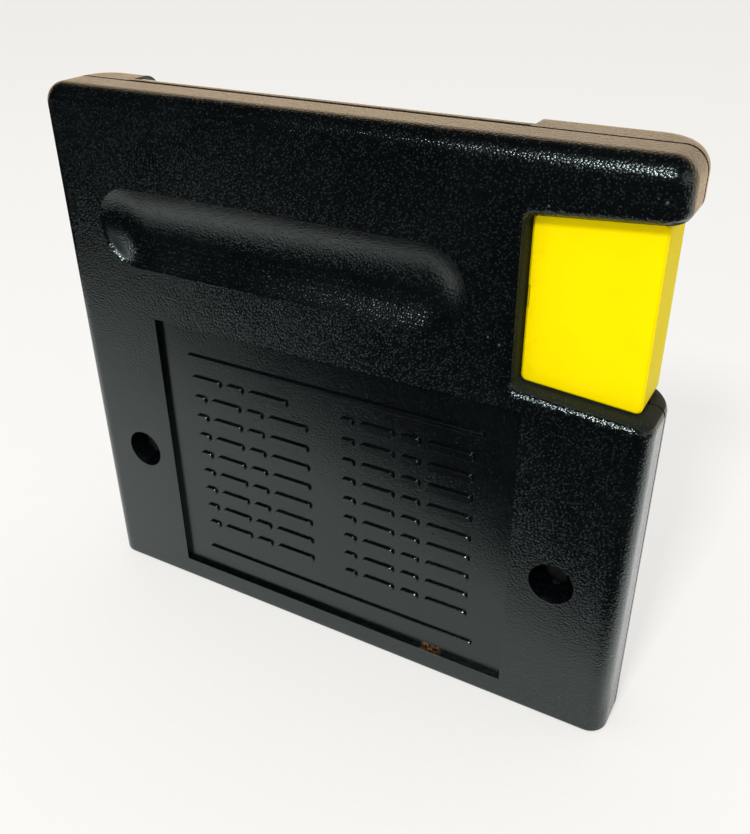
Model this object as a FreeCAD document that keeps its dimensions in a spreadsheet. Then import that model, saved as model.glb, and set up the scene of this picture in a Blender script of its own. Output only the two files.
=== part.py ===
"""Game cartridge: two moulded case halves, a side tab, a paper label and the board inside.

Millimetres. X runs along the width, Y through the depth with the rear face at -Y, and Z is up
from the slot edge that the cartridge stands on. The origin is the middle of its underside.
"""
import FreeCAD
import Part
import Sketcher
import math
import os

# Driving dimensions: name, value and what it measures
SIZES = [
    ("case_width", 108.0, "width of the closed case"),
    ("case_height", 98.4, "height of the closed case"),
    ("case_depth", 15.8, "depth of the closed case, halved by the seam"),
    ("wall", 2.2, "moulded wall of both halves"),
    ("top_wall", 3.4, "thicker wall along the top"),
    ("corner_radius", 3.4, "upper corners of the outline and crown of the front half"),
    ("rim_radius", 3.2, "rounding between the rear face and its sides"),
    ("side_radius", 7.4, "rounding of the front half's sides, seen from above"),
    ("base_rim", 0.8, "rounding along the slot edge"),
    ("seam_chamfer", 0.26, "broken edge of each half along the seam"),
    ("slot_width", 90.0, "connector opening along the slot edge"),
    ("notch_drop", 22.8, "distance of the middle of the tab notch from the top"),
    ("notch_length", 20.9, "reach of the tab notch in from the side"),
    ("notch_inner", 25.8, "opening of the notch at its inner wall"),
    ("notch_outer", 28.8, "opening of the notch at the side"),
    ("notch_corner", 1.2, "inner corners of the notch"),
    ("notch_rim", 1.8, "rounding of the notch's rim"),
    ("tab_depth", 9.2, "depth of the tab, centred on the seam"),
    ("tab_setback", 2.5, "distance of the tab's outer face from the side"),
    ("tab_clearance", 0.15, "play of the tab in the notch"),
    ("tab_corner", 1.0, "corners of the tab"),
    ("tab_edge", 0.35, "broken edges of the tab"),
    ("nick_width", 0.45, "gate nick in the tab's inner edge"),
    ("nick_height", 3.6, "height of that nick"),
    ("nick_rise", 0.6, "distance of the nick above the middle of the notch"),
    ("nick_depth", 1.5, "depth of the nick"),
    ("tab_wall", 1.8, "wall of the cored tab"),
    ("tongue_depth", 7.2, "neck of the tab through the notch's wall"),
    ("tongue_height", 20.0, "height of that neck"),
    ("flange_overhang", 1.6, "grip of the tab's flange behind the wall"),
    ("flange_thickness", 1.6, "thickness of that flange"),
    ("panel_width", 70.0, "sunk panel on the rear face"),
    ("panel_height", 54.8, "height of the sunk panel"),
    ("panel_bottom", 4.5, "lower edge of the sunk panel"),
    ("panel_depth", 1.0, "depth of the sunk panel"),
    ("scoop_length", 69.7, "finger scoop, end to end"),
    ("scoop_width", 14.0, "width of the finger scoop at the face"),
    ("scoop_depth", 3.0, "depth of the finger scoop"),
    ("scoop_shift", 9.5, "shift of the scoop away from the tab"),
    ("scoop_skin", 1.7, "wall behind the finger scoop"),
    ("screw_spacing", 84.7, "distance between the two case screws"),
    ("screw_height", 29.5, "height of the case screws"),
    ("well_width", 7.6, "screw well in the rear face"),
    ("well_depth", 5.6, "depth of the screw well"),
    ("boss_wall", 1.6, "wall of the tube round the screw well"),
    ("boss_floor", 1.9, "floor of the screw well, which the screw clamps"),
    ("screw_clearance", 0.3, "play of the screw in that floor"),
    ("pillar_width", 8.0, "screw pillar in the front half"),
    ("pilot_depth", 5.4, "blind hole in the pillar for the screw"),
    ("thread_clearance", 0.05, "play of the screw in that hole"),
    ("screw_shank", 3.0, "diameter of the case screw"),
    ("screw_length", 7.0, "length of the screw below its head"),
    ("flange_width", 6.2, "flange of the screw's head"),
    ("head_flange", 0.9, "thickness of that flange"),
    ("head_width", 4.2, "lobed drive post on the screw's head"),
    ("head_height", 1.8, "height of the drive post"),
    ("lobe_radius", 0.5, "flutes between the lobes of the drive post"),
    ("label_width", 71.0, "paper label"),
    ("label_margin", 0.25, "bare margin round the label in its recess"),
    ("label_shift", 5.4, "shift of the label away from the tab"),
    ("label_bottom", 20.0, "lower edge of the label's recess"),
    ("label_recess", 0.5, "depth of the label's recess"),
    ("label_lip", 1.7, "bare ledge along the seam above the label"),
    ("label_flat", 0.9, "level run of the label behind that ledge"),
    ("label_corner", 2.4, "rounded corners of the label"),
    ("label_paper", 0.15, "thickness of the label"),
    ("glue_line", 0.05, "glue under the label"),
    ("board_width", 84.0, "circuit board"),
    ("board_bottom", 4.0, "distance of the board's edge from the slot edge"),
    ("board_height", 48.0, "height of the circuit board"),
    ("board_thickness", 1.6, "thickness of the circuit board"),
    ("board_corner", 2.0, "clipped lower corners of the board"),
    ("board_bevel", 0.4, "bevel along the board's connector edge"),
    ("board_clearance", 0.4, "play of the board round the screw tubes"),
    ("post_width", 5.0, "square posts that clamp the board"),
    ("post_gap", 0.1, "play of the board between the posts"),
    ("post_x", 34.0, "posts, from the middle"),
    ("upper_post_drop", 6.0, "distance of the upper posts from the board's top"),
    ("lower_post_rise", 16.0, "distance of the lower posts from the board's connector edge"),
    ("lug_length", 9.0, "locating lugs of the front half"),
    ("lug_thickness", 1.4, "thickness of the lugs"),
    ("lug_reach", 1.8, "reach of the lugs past the seam"),
    ("lug_clearance", 0.15, "play of the lugs in the rear half"),
    ("lug_side_x", 26.0, "upper lugs, from the middle"),
    ("lug_rise", 15.0, "height of the lower side lugs"),
    ("lug_drop", 7.0, "distance of the upper side lugs from the notch"),
    ("contact_count", 32, "contacts on each side of the board"),
    ("contact_pitch", 2.54, "pitch of the contacts"),
    ("contact_width", 1.6, "width of a contact"),
    ("contact_length", 8.0, "length of a contact"),
    ("contact_plate", 0.08, "thickness of a contact"),
    ("contact_inset", 0.6, "bare board below the contacts"),
    ("chip_length", 28.2, "memory package"),
    ("chip_width", 12.6, "width of the memory package"),
    ("chip_thickness", 2.6, "thickness of the memory package"),
    ("chip_standoff", 0.25, "gap between the package and the board"),
    ("chip_drop", 16.0, "distance of the middle of the package from the board's top"),
    ("chip_taper", 0.25, "mould taper of the package's sides"),
    ("chip_mark", 1.2, "radius of the half-round mark at its end"),
    ("chip_mark_depth", 0.3, "depth of that mark"),
    ("lead_count", 22, "leads on each long side of the package"),
    ("lead_pitch", 1.27, "pitch of the leads"),
    ("lead_width", 0.42, "width of a lead"),
    ("lead_sheet", 0.18, "thickness of a lead"),
    ("lead_shoulder", 0.6, "level run of a lead out of the package"),
    ("lead_foot", 0.9, "foot of a lead on the board"),
    ("ceramic_length", 3.2, "ceramic capacitor"),
    ("ceramic_width", 1.6, "width of a ceramic capacitor"),
    ("ceramic_height", 1.2, "height of a ceramic capacitor"),
    ("ceramic_edge", 0.12, "broken edges of a ceramic capacitor"),
    ("ceramic_x", 20.0, "ceramic capacitors, from the middle"),
    ("ceramic_rise", 19.0, "distance of the ceramic capacitors from the connector edge"),
    ("reservoir_length", 6.0, "reservoir capacitor"),
    ("reservoir_width", 3.2, "width of the reservoir capacitor"),
    ("reservoir_height", 2.5, "height of the reservoir capacitor"),
    ("reservoir_edge", 0.3, "broken edges of the reservoir capacitor"),
    ("reservoir_x", 22.0, "reservoir capacitor, from the middle"),
    ("reservoir_drop", 4.0, "distance of the reservoir capacitor from the board's top"),
]

# Worked-out dimensions: name and formula
DERIVED = [
    ("half_width", "=case_width / 2"),
    ("half_depth", "=case_depth / 2"),
    ("cavity_half", "=half_width - wall"),
    ("cavity_depth", "=half_depth - wall"),
    ("cavity_top", "=case_height - top_wall"),
    ("notch_middle", "=case_height - notch_drop"),
    ("side_middle_x", "=half_width - side_radius"),
    ("side_middle_y", "=half_depth - side_radius"),
    ("side_inside", "=side_radius - wall"),
    ("slot_half", "=slot_width / 2"),
    ("slot_below", "=wall"),
    ("notch_wall", "=half_width - notch_length"),
    ("ledge_in", "=notch_middle - notch_inner / 2"),
    ("ledge_out", "=notch_middle - notch_outer / 2"),
    ("arm_in", "=notch_middle + notch_inner / 2"),
    ("arm_out", "=notch_middle + notch_outer / 2"),
    ("cavity_notch", "=notch_wall - wall"),
    ("cavity_ledge_in", "=ledge_in - wall"),
    ("cavity_ledge_out", "=ledge_out - wall"),
    ("cavity_arm_in", "=arm_in + wall"),
    ("cavity_arm_out", "=arm_out + wall"),
    ("notch_flare", "=(notch_outer - notch_inner) / 2 / notch_length"),
    ("tab_in", "=notch_wall + tab_clearance"),
    ("tab_out", "=half_width - tab_setback"),
    ("tab_low_in", "=ledge_in + tab_clearance"),
    ("tab_low_out", "=tab_low_in - notch_flare * (tab_out - tab_in)"),
    ("tab_high_in", "=arm_in - tab_clearance"),
    ("tab_high_out", "=tab_high_in + notch_flare * (tab_out - tab_in)"),
    ("tab_face", "=tab_depth / 2"),
    ("nick_end", "=tab_in + nick_width"),
    ("nick_low", "=notch_middle + nick_rise - nick_height / 2"),
    ("nick_high", "=nick_low + nick_height"),
    ("gate_half", "=tongue_depth / 2 + tab_clearance"),
    ("gate_low", "=notch_middle - tongue_height / 2 - tab_clearance"),
    ("gate_high", "=notch_middle + tongue_height / 2 + tab_clearance"),
    ("tongue_half", "=tongue_depth / 2"),
    ("tongue_low", "=notch_middle - tongue_height / 2"),
    ("tongue_high", "=notch_middle + tongue_height / 2"),
    ("tongue_length", "=wall + 2 * tab_clearance"),
    ("flange_start", "=tab_in - tongue_length"),
    ("flange_half", "=tongue_half + flange_overhang"),
    ("flange_low", "=tongue_low - flange_overhang"),
    ("flange_high", "=tongue_high + flange_overhang"),
    ("tab_end", "=flange_start - flange_thickness"),
    ("core_half", "=tongue_half - tab_wall"),
    ("core_low", "=tongue_low + tab_wall"),
    ("core_high", "=tongue_high - tab_wall"),
    ("core_length", "=tab_out - tab_wall - tab_end"),
    ("panel_half", "=panel_width / 2"),
    ("panel_top", "=panel_bottom + panel_height"),
    ("scoop_round", "=scoop_width / 2"),
    ("scoop_middle", "=notch_middle"),
    ("scoop_start", "=-scoop_shift - scoop_length / 2"),
    ("scoop_end", "=scoop_start + scoop_length"),
    ("scoop_left", "=scoop_start + scoop_round"),
    ("scoop_right", "=scoop_end - scoop_round"),
    ("scoop_radius", "=(scoop_round * scoop_round + scoop_depth * scoop_depth) / 2 / scoop_depth"),
    ("scoop_axis", "=-half_depth - scoop_radius + scoop_depth"),
    ("scoop_low", "=scoop_middle - scoop_round"),
    ("scoop_high", "=scoop_middle + scoop_round"),
    ("scoop_backing", "=scoop_depth + scoop_skin - wall"),
    ("screw_half", "=screw_spacing / 2"),
    ("well_radius", "=well_width / 2"),
    ("boss_radius", "=well_radius + boss_wall"),
    ("boss_end", "=half_depth - well_depth - boss_floor"),
    ("boss_height", "=cavity_depth - boss_end"),
    ("clear_radius", "=(screw_shank + screw_clearance) / 2"),
    ("pillar_radius", "=pillar_width / 2"),
    ("pillar_height", "=cavity_depth + boss_end"),
    ("pilot_radius", "=screw_shank / 2 + thread_clearance"),
    ("screw_seat", "=half_depth - well_depth"),
    ("label_left", "=-label_shift - label_width / 2 - label_margin"),
    ("label_floor", "=half_depth - label_recess"),
    ("label_shelf", "=case_height - label_recess"),
    ("label_bend_y", "=label_lip + label_flat"),
    ("label_bend", "=label_floor - label_bend_y"),
    ("label_bend_z", "=label_shelf - label_bend"),
    ("label_cut_y", "=half_depth + wall"),
    ("label_cut_z", "=case_height + wall"),
    ("label_cut_width", "=label_width + 2 * label_margin"),
    ("paper_start", "=label_left + label_margin"),
    ("paper_end", "=paper_start + label_width"),
    ("paper_lip", "=label_lip + label_margin"),
    ("paper_turn", "=paper_lip + label_corner"),
    ("paper_turn_start", "=paper_start + label_corner"),
    ("paper_turn_end", "=paper_end - label_corner"),
    ("paper_turn_cut", "=wall + label_recess + label_corner"),
    ("paper_low", "=label_bottom + label_margin"),
    ("paper_back", "=label_floor + glue_line"),
    ("paper_front", "=paper_back + label_paper"),
    ("paper_under", "=label_shelf + glue_line"),
    ("paper_over", "=paper_under + label_paper"),
    ("paper_bend_in", "=label_bend + glue_line"),
    ("paper_bend_out", "=paper_bend_in + label_paper"),
    ("board_half", "=board_width / 2"),
    ("board_face", "=board_thickness / 2"),
    ("board_top", "=board_bottom + board_height"),
    ("board_tongue", "=board_half - board_corner"),
    ("board_clip", "=board_bottom + board_corner"),
    ("board_cut", "=boss_radius + board_clearance"),
    ("post_in", "=post_x - post_width / 2"),
    ("post_out", "=post_x + post_width / 2"),
    ("upper_post_low", "=board_top - upper_post_drop - post_width / 2"),
    ("upper_post_high", "=upper_post_low + post_width"),
    ("lower_post_low", "=board_bottom + lower_post_rise - post_width / 2"),
    ("lower_post_high", "=lower_post_low + post_width"),
    ("rear_post", "=cavity_depth - board_face"),
    ("front_post", "=cavity_depth - board_face - post_gap"),
    ("lug_height", "=cavity_depth + lug_reach"),
    ("lug_out", "=cavity_half - lug_clearance"),
    ("lug_in", "=lug_out - lug_thickness"),
    ("lug_low_start", "=lug_rise - lug_length / 2"),
    ("lug_low_end", "=lug_rise + lug_length / 2"),
    ("lug_high_start", "=cavity_ledge_out - lug_drop - lug_length / 2"),
    ("lug_high_end", "=lug_high_start + lug_length"),
    ("lug_top", "=cavity_top - lug_clearance"),
    ("lug_under", "=lug_top - lug_thickness"),
    ("lug_near", "=lug_side_x - lug_length / 2"),
    ("lug_far", "=lug_side_x + lug_length / 2"),
    ("ceramic_z", "=board_bottom + ceramic_rise"),
    ("reservoir_z", "=board_top - reservoir_drop"),
    ("chip_z", "=board_top - chip_drop"),
    ("chip_half", "=chip_length / 2"),
    ("chip_base", "=board_face + chip_standoff"),
    ("chip_waist", "=chip_base + chip_thickness / 2"),
    ("chip_crown", "=chip_base + chip_thickness"),
    ("chip_low", "=chip_z - chip_width / 2"),
    ("chip_low_in", "=chip_low + chip_taper"),
    ("chip_high", "=chip_z + chip_width / 2"),
    ("chip_high_in", "=chip_high - chip_taper"),
    ("shank_radius", "=screw_shank / 2"),
    ("flange_radius", "=flange_width / 2"),
    ("flange_top", "=screw_seat + head_flange"),
    ("head_radius", "=head_width / 2"),
    ("head_top", "=flange_top + head_height"),
    ("shank_tip", "=screw_length - screw_seat"),
    ("shank_cone", "=shank_tip - shank_radius"),
]


def make_sheet(doc):
    """Writes the driving and worked-out dimensions into the document's sheet."""
    sheet = doc.addObject("Spreadsheet::Sheet", "Sizes")
    row = 0
    for alias, value, note in SIZES:
        row += 1
        sheet.set("A%d" % row, note)
        sheet.set("B%d" % row, str(value))
        sheet.setAlias("B%d" % row, alias)
    for alias, text in DERIVED:
        row += 1
        sheet.set("B%d" % row, text)
        sheet.setAlias("B%d" % row, alias)
    doc.recompute()
    return sheet


# Lobes of the screws' drive post
LOBES = 6

# Lengths closer than this are the same
PRECISION = 0.01

# The pieces of the cartridge, each in a file of its own
NODES = ["rear_case", "front_case", "side_tab", "front_label", "circuit_board", "rear_contacts",
         "front_contacts", "memory_package", "memory_leads", "ceramic_capacitors",
         "reservoir_capacitor", "case_screws"]

DOC = FreeCAD.newDocument("cartridge")
SHEET = make_sheet(DOC)


def size(alias):
    """The value of a named cell. A leading minus turns its sign."""
    if alias == "0":
        return 0.0
    if alias.startswith("-"):
        return -float(SHEET.get(alias[1:]))
    return float(SHEET.get(alias))


def cell(alias):
    """The formula that refers to a named cell. A leading minus turns its sign."""
    if alias.startswith("-"):
        return "-Sizes." + alias[1:]
    return "Sizes." + alias


def new_body(label):
    """An empty body whose label names its file."""
    body = DOC.addObject("PartDesign::Body", label)
    body.Label = label
    return body


def new_sketch(body, role, name, offset=None):
    """A sketch on one of the body's origin planes, moved along the plane's normal by a cell."""
    sketch = body.newObject("Sketcher::SketchObject", name)
    for feature in body.Origin.OriginFeatures:
        if feature.Role == role:
            sketch.AttachmentSupport = [(feature, "")]
    sketch.MapMode = "FlatFace"
    if offset:
        sketch.setExpression("AttachmentOffset.Base.z", cell(offset))
    return sketch


def fix_point(sketch, geometry, point, place):
    """Ties a point of a sketch to two cells, measured from the sketch's origin."""
    for kind, alias in zip(("DistanceX", "DistanceY"), place):
        if alias == "0":
            axis = -2 if kind == "DistanceX" else -1
            sketch.addConstraint(Sketcher.Constraint("PointOnObject", geometry, point, axis))
            continue
        rule = Sketcher.Constraint(kind, -1, 1, geometry, point, size(alias))
        index = sketch.addConstraint(rule)
        sketch.setExpression("Constraints[%d]" % index, cell(alias))


def polygon(sketch, corners):
    """A closed outline of straight lines whose corners are pairs of cells."""
    places = [FreeCAD.Vector(size(across), size(up), 0) for across, up in corners]
    first = sketch.GeometryCount
    count = len(places)
    for index in range(count):
        sketch.addGeometry(Part.LineSegment(places[index], places[(index + 1) % count]))
    for index in range(count):
        after = first + (index + 1) % count
        sketch.addConstraint(Sketcher.Constraint("Coincident", first + index, 2, after, 1))
    for index in range(count):
        fix_point(sketch, first + index, 1, corners[index])


def rectangle(sketch, left, right, low, high):
    """A rectangle between four cells."""
    polygon(sketch, [(left, low), (right, low), (right, high), (left, high)])


def circle(sketch, across, up, radius):
    """A circle whose centre and radius are cells."""
    centre = FreeCAD.Vector(size(across), size(up), 0)
    ring = sketch.addGeometry(Part.Circle(centre, FreeCAD.Vector(0, 0, 1), size(radius)))
    fix_point(sketch, ring, 3, (across, up))
    index = sketch.addConstraint(Sketcher.Constraint("Radius", ring, size(radius)))
    sketch.setExpression("Constraints[%d]" % index, cell(radius))


def arc(sketch, centre, radius, start, end):
    """An arc between two angles in degrees, with its radius tied to a cell."""
    middle = FreeCAD.Vector(size(centre[0]), size(centre[1]), 0)
    ring = Part.Circle(middle, FreeCAD.Vector(0, 0, 1), size(radius))
    index = sketch.addGeometry(Part.ArcOfCircle(ring, math.radians(start), math.radians(end)))
    rule = sketch.addConstraint(Sketcher.Constraint("Radius", index, size(radius)))
    sketch.setExpression("Constraints[%d]" % rule, cell(radius))
    return index


def pad(body, sketch, name, length, reverse=False, midplane=False):
    """A pad of a sketch along its normal."""
    feature = body.newObject("PartDesign::Pad", name)
    feature.Profile = sketch
    feature.setExpression("Length", cell(length))
    feature.Reversed = reverse
    feature.Midplane = midplane
    DOC.recompute()
    return feature


def pocket(body, sketch, name, length, reverse=False):
    """A pocket of a sketch against its normal, which has to take material away."""
    before = body.Shape.Volume
    feature = body.newObject("PartDesign::Pocket", name)
    feature.Profile = sketch
    feature.setExpression("Length", cell(length))
    feature.Reversed = reverse
    DOC.recompute()
    if not body.Shape.Volume < before:
        raise RuntimeError(name + " cuts nothing")
    return feature


def dress(body, kind, name, length, test):
    """A fillet or chamfer on the edges of the body's present shape that pass a test."""
    base = body.Tip
    names = ["Edge%d" % (number + 1) for number, edge in enumerate(base.Shape.Edges) if test(edge)]
    feature = body.newObject("PartDesign::" + kind, name)
    feature.Base = (base, names)
    feature.setExpression("Radius" if kind == "Fillet" else "Size", cell(length))
    DOC.recompute()
    return feature


def near(first, second):
    """Whether two lengths are the same, within the precision of the shapes."""
    return abs(first - second) < PRECISION


def on_plane(edge, axis, value):
    """Whether both ends of an edge lie at one value of x, y or z."""
    return all(near(vertex.Point[axis], value) for vertex in edge.Vertexes)


def edge_at(across, up):
    """A test for the edge along Y at one place of the outline."""
    return lambda edge: on_plane(edge, 0, across) and on_plane(edge, 2, up)


def in_notch(edge):
    """Whether an edge borders the tab notch."""
    inside = edge.CenterOfMass.x > size("notch_wall") - size("notch_corner")
    low = size("ledge_out") - size("notch_rim")
    high = size("arm_out") + size("notch_rim")
    return inside and low < edge.CenterOfMass.z < high


def case_outline(sketch):
    """The outline of both halves, with the flared notch for the tab on its right."""
    polygon(sketch, [
        ("-half_width", "0"),
        ("half_width", "0"),
        ("half_width", "ledge_out"),
        ("notch_wall", "ledge_in"),
        ("notch_wall", "arm_in"),
        ("half_width", "arm_out"),
        ("half_width", "case_height"),
        ("-half_width", "case_height"),
    ])


def cavity_outline(sketch):
    """The inside of both halves, open to the connector slot below."""
    polygon(sketch, [
        ("-slot_half", "-slot_below"),
        ("slot_half", "-slot_below"),
        ("slot_half", "wall"),
        ("cavity_half", "wall"),
        ("cavity_half", "cavity_ledge_out"),
        ("cavity_notch", "cavity_ledge_in"),
        ("cavity_notch", "cavity_arm_in"),
        ("cavity_half", "cavity_arm_out"),
        ("cavity_half", "cavity_top"),
        ("-cavity_half", "cavity_top"),
        ("-cavity_half", "wall"),
        ("-slot_half", "wall"),
    ])


def case_block(label, front):
    """The solid outline of one half, with the inner corners of its notch rounded."""
    body = new_body(label)
    outline = new_sketch(body, "XZ_Plane", label + "_outline")
    case_outline(outline)
    pad(body, outline, label + "_block", "half_depth", reverse=front)
    nooks = [edge_at(size("notch_wall"), size("ledge_in")), edge_at(size("notch_wall"), size("arm_in"))]
    dress(body, "Fillet", label + "_nooks", "notch_corner",
          lambda edge: any(test(edge) for test in nooks))
    return body


def hollow_half(body, front):
    """The notch rim, slot edge, seam, cavity and tab gate that both halves share."""
    label = body.Label
    face = size("half_depth") if front else -size("half_depth")
    dress(body, "Fillet", label + "_notch_rim", "notch_rim",
          lambda edge: on_plane(edge, 1, face) and in_notch(edge))
    dress(body, "Fillet", label + "_base_rim", "base_rim",
          lambda edge: on_plane(edge, 1, face) and on_plane(edge, 2, 0.0))
    dress(body, "Chamfer", label + "_seam", "seam_chamfer",
          lambda edge: on_plane(edge, 1, 0.0))
    inside = new_sketch(body, "XZ_Plane", label + "_inside")
    cavity_outline(inside)
    pocket(body, inside, label + "_cavity", "cavity_depth", reverse=not front)
    gate = new_sketch(body, "XZ_Plane", label + "_tab_gate")
    rectangle(gate, "cavity_notch", "tab_in", "gate_low", "gate_high")
    pocket(body, gate, label + "_gate", "gate_half", reverse=not front)


def corner_waste(sketch, corner, middle, radius, start):
    """What a rounded corner leaves of the square one, seen from above."""
    point = FreeCAD.Vector(size(corner[0]), size(corner[1]), 0)
    turn = arc(sketch, middle, radius, start, start + 90)
    curve = sketch.Geometry[turn]
    inward = sketch.addGeometry(Part.LineSegment(curve.EndPoint, point))
    outward = sketch.addGeometry(Part.LineSegment(point, curve.StartPoint))
    sketch.addConstraint(Sketcher.Constraint("Tangent", turn, 2, inward, 1))
    sketch.addConstraint(Sketcher.Constraint("Coincident", inward, 2, outward, 1))
    sketch.addConstraint(Sketcher.Constraint("Tangent", outward, 2, turn, 1))
    fix_point(sketch, turn, 3, middle)
    fix_point(sketch, outward, 1, corner)


def at_screws(sketch, radius):
    """A circle at each of the two case screws."""
    for across in ("-screw_half", "screw_half"):
        circle(sketch, across, "screw_height", radius)


def at_posts(sketch):
    """A square at each of the four posts that clamp the board."""
    for left, right in (("-post_out", "-post_in"), ("post_in", "post_out")):
        rectangle(sketch, left, right, "lower_post_low", "lower_post_high")
        rectangle(sketch, left, right, "upper_post_low", "upper_post_high")


def scoop_profile(sketch):
    """Half of a round-ended bar along the sketch's first axis."""
    radius = size("scoop_radius")
    left = FreeCAD.Vector(size("scoop_left"), 0, 0)
    right = FreeCAD.Vector(size("scoop_right"), 0, 0)
    reach = FreeCAD.Vector(radius, 0, 0)
    rise = FreeCAD.Vector(0, radius, 0)
    axis = sketch.addGeometry(Part.LineSegment(left - reach, right + reach))
    right_end = arc(sketch, ("scoop_right", "0"), "scoop_radius", 0, 90)
    crest = sketch.addGeometry(Part.LineSegment(right + rise, left + rise))
    left_end = arc(sketch, ("scoop_left", "0"), "scoop_radius", 90, 180)
    sketch.addConstraint(Sketcher.Constraint("Coincident", axis, 2, right_end, 1))
    sketch.addConstraint(Sketcher.Constraint("Tangent", right_end, 2, crest, 1))
    sketch.addConstraint(Sketcher.Constraint("Tangent", crest, 2, left_end, 1))
    sketch.addConstraint(Sketcher.Constraint("Coincident", left_end, 2, axis, 1))
    sketch.addConstraint(Sketcher.Constraint("PointOnObject", axis, 1, -1))
    sketch.addConstraint(Sketcher.Constraint("PointOnObject", axis, 2, -1))
    fix_point(sketch, right_end, 3, ("scoop_right", "0"))
    fix_point(sketch, left_end, 3, ("scoop_left", "0"))


def rear_case():
    """The plain half: finger scoop, sunk panel and the two screw wells."""
    body = case_block("rear_case", front=False)
    half = size("half_width")
    top = size("case_height")
    corners = [edge_at(half, top), edge_at(-half, top)]
    dress(body, "Fillet", "rear_corners", "corner_radius",
          lambda edge: any(test(edge) for test in corners))
    face = -size("half_depth")
    dress(body, "Fillet", "rear_rim", "rim_radius",
          lambda edge: on_plane(edge, 1, face) and not on_plane(edge, 2, 0.0) and not in_notch(edge))
    hollow_half(body, front=False)

    backing = new_sketch(body, "XZ_Plane", "scoop_backing_outline", "cavity_depth")
    rectangle(backing, "scoop_start", "scoop_end", "scoop_low", "scoop_high")
    pad(body, backing, "scoop_backing_block", "scoop_backing", reverse=True)

    profile = new_sketch(body, "XY_Plane", "scoop_outline", "scoop_middle")
    profile.setExpression("AttachmentOffset.Base.y", cell("scoop_axis"))
    scoop_profile(profile)
    before = body.Shape.Volume
    groove = body.newObject("PartDesign::Groove", "finger_scoop")
    groove.Profile = profile
    groove.ReferenceAxis = (profile, ["H_Axis"])
    groove.Angle = 360
    DOC.recompute()
    if not body.Shape.Volume < before:
        raise RuntimeError("the finger scoop cuts nothing")

    panel = new_sketch(body, "XZ_Plane", "panel_outline", "half_depth")
    rectangle(panel, "-panel_half", "panel_half", "panel_bottom", "panel_top")
    pocket(body, panel, "sunk_panel", "panel_depth")

    tubes = new_sketch(body, "XZ_Plane", "screw_tubes_outline", "cavity_depth")
    at_screws(tubes, "boss_radius")
    pad(body, tubes, "screw_tubes", "boss_height", reverse=True)
    wells = new_sketch(body, "XZ_Plane", "screw_wells_outline", "half_depth")
    at_screws(wells, "well_radius")
    pocket(body, wells, "screw_wells", "well_depth")
    holes = new_sketch(body, "XZ_Plane", "screw_holes_outline", "half_depth")
    at_screws(holes, "clear_radius")
    pocket(body, holes, "screw_holes", "half_depth")

    posts = new_sketch(body, "XZ_Plane", "rear_posts_outline", "cavity_depth")
    at_posts(posts)
    pad(body, posts, "rear_posts", "rear_post", reverse=True)
    return body


def recess_profile(sketch):
    """What the label's recess takes off: over the top behind the lip, round the bend, down the face."""
    corners = {
        "above": ("label_lip", "label_cut_z"),
        "step": ("label_lip", "label_shelf"),
        "low": ("label_floor", "label_bottom"),
        "out": ("label_cut_y", "label_bottom"),
        "over": ("label_cut_y", "label_cut_z"),
    }
    places = {name: FreeCAD.Vector(size(along), size(up), 0) for name, (along, up) in corners.items()}
    bend_top = FreeCAD.Vector(size("label_bend_y"), size("label_shelf"), 0)
    bend_front = FreeCAD.Vector(size("label_floor"), size("label_bend_z"), 0)
    drop = sketch.addGeometry(Part.LineSegment(places["above"], places["step"]))
    shelf = sketch.addGeometry(Part.LineSegment(places["step"], bend_top))
    bend = arc(sketch, ("label_bend_y", "label_bend_z"), "label_bend", 0, 90)
    face = sketch.addGeometry(Part.LineSegment(bend_front, places["low"]))
    foot = sketch.addGeometry(Part.LineSegment(places["low"], places["out"]))
    side = sketch.addGeometry(Part.LineSegment(places["out"], places["over"]))
    roof = sketch.addGeometry(Part.LineSegment(places["over"], places["above"]))
    sketch.addConstraint(Sketcher.Constraint("Coincident", drop, 2, shelf, 1))
    sketch.addConstraint(Sketcher.Constraint("Tangent", shelf, 2, bend, 2))
    sketch.addConstraint(Sketcher.Constraint("Tangent", bend, 1, face, 1))
    sketch.addConstraint(Sketcher.Constraint("Coincident", face, 2, foot, 1))
    sketch.addConstraint(Sketcher.Constraint("Coincident", foot, 2, side, 1))
    sketch.addConstraint(Sketcher.Constraint("Coincident", side, 2, roof, 1))
    sketch.addConstraint(Sketcher.Constraint("Coincident", roof, 2, drop, 1))
    fix_point(sketch, bend, 3, ("label_bend_y", "label_bend_z"))
    for line, name in ((drop, "above"), (shelf, "step"), (foot, "low"), (side, "out"), (roof, "over")):
        fix_point(sketch, line, 1, corners[name])


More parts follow.
